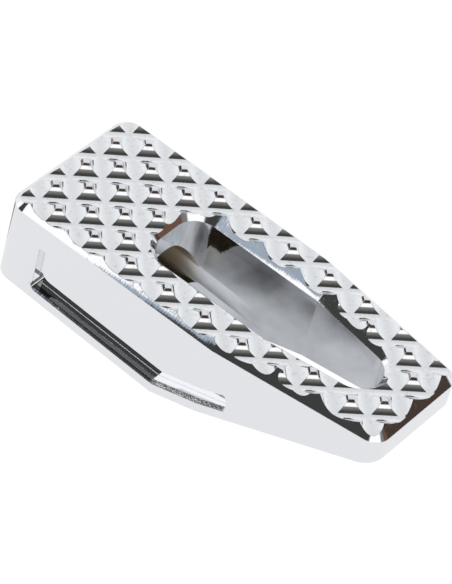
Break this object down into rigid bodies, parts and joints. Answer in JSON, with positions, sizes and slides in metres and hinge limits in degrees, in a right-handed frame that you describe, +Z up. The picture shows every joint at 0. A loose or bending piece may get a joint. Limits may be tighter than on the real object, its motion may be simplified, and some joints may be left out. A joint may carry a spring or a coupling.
{
  "type": "rear brake pedal",
  "caption": "Toe pad of a motorbike's rear brake pedal: a tapered billet block with a diamond tread, a long window, a bore for the lever and a groove in each flank.",
  "frame": {"origin": "centre of the lever bore's mouth in the pad's wide end", "axes": "+X runs into the bore, from the wide end to the narrow end; +Y crosses the pad; +Z is up, square to the flat of the underside, and the tread faces up"},
  "size_m": [0.0862, 0.0358, 0.0242],
  "materials": {
    "chrome_plate": "polished chrome plate over machined aluminium"
  },
  "bodies": {
    "root": {"brake_pedal": "chrome_plate"}
  },
  "joints": []
}
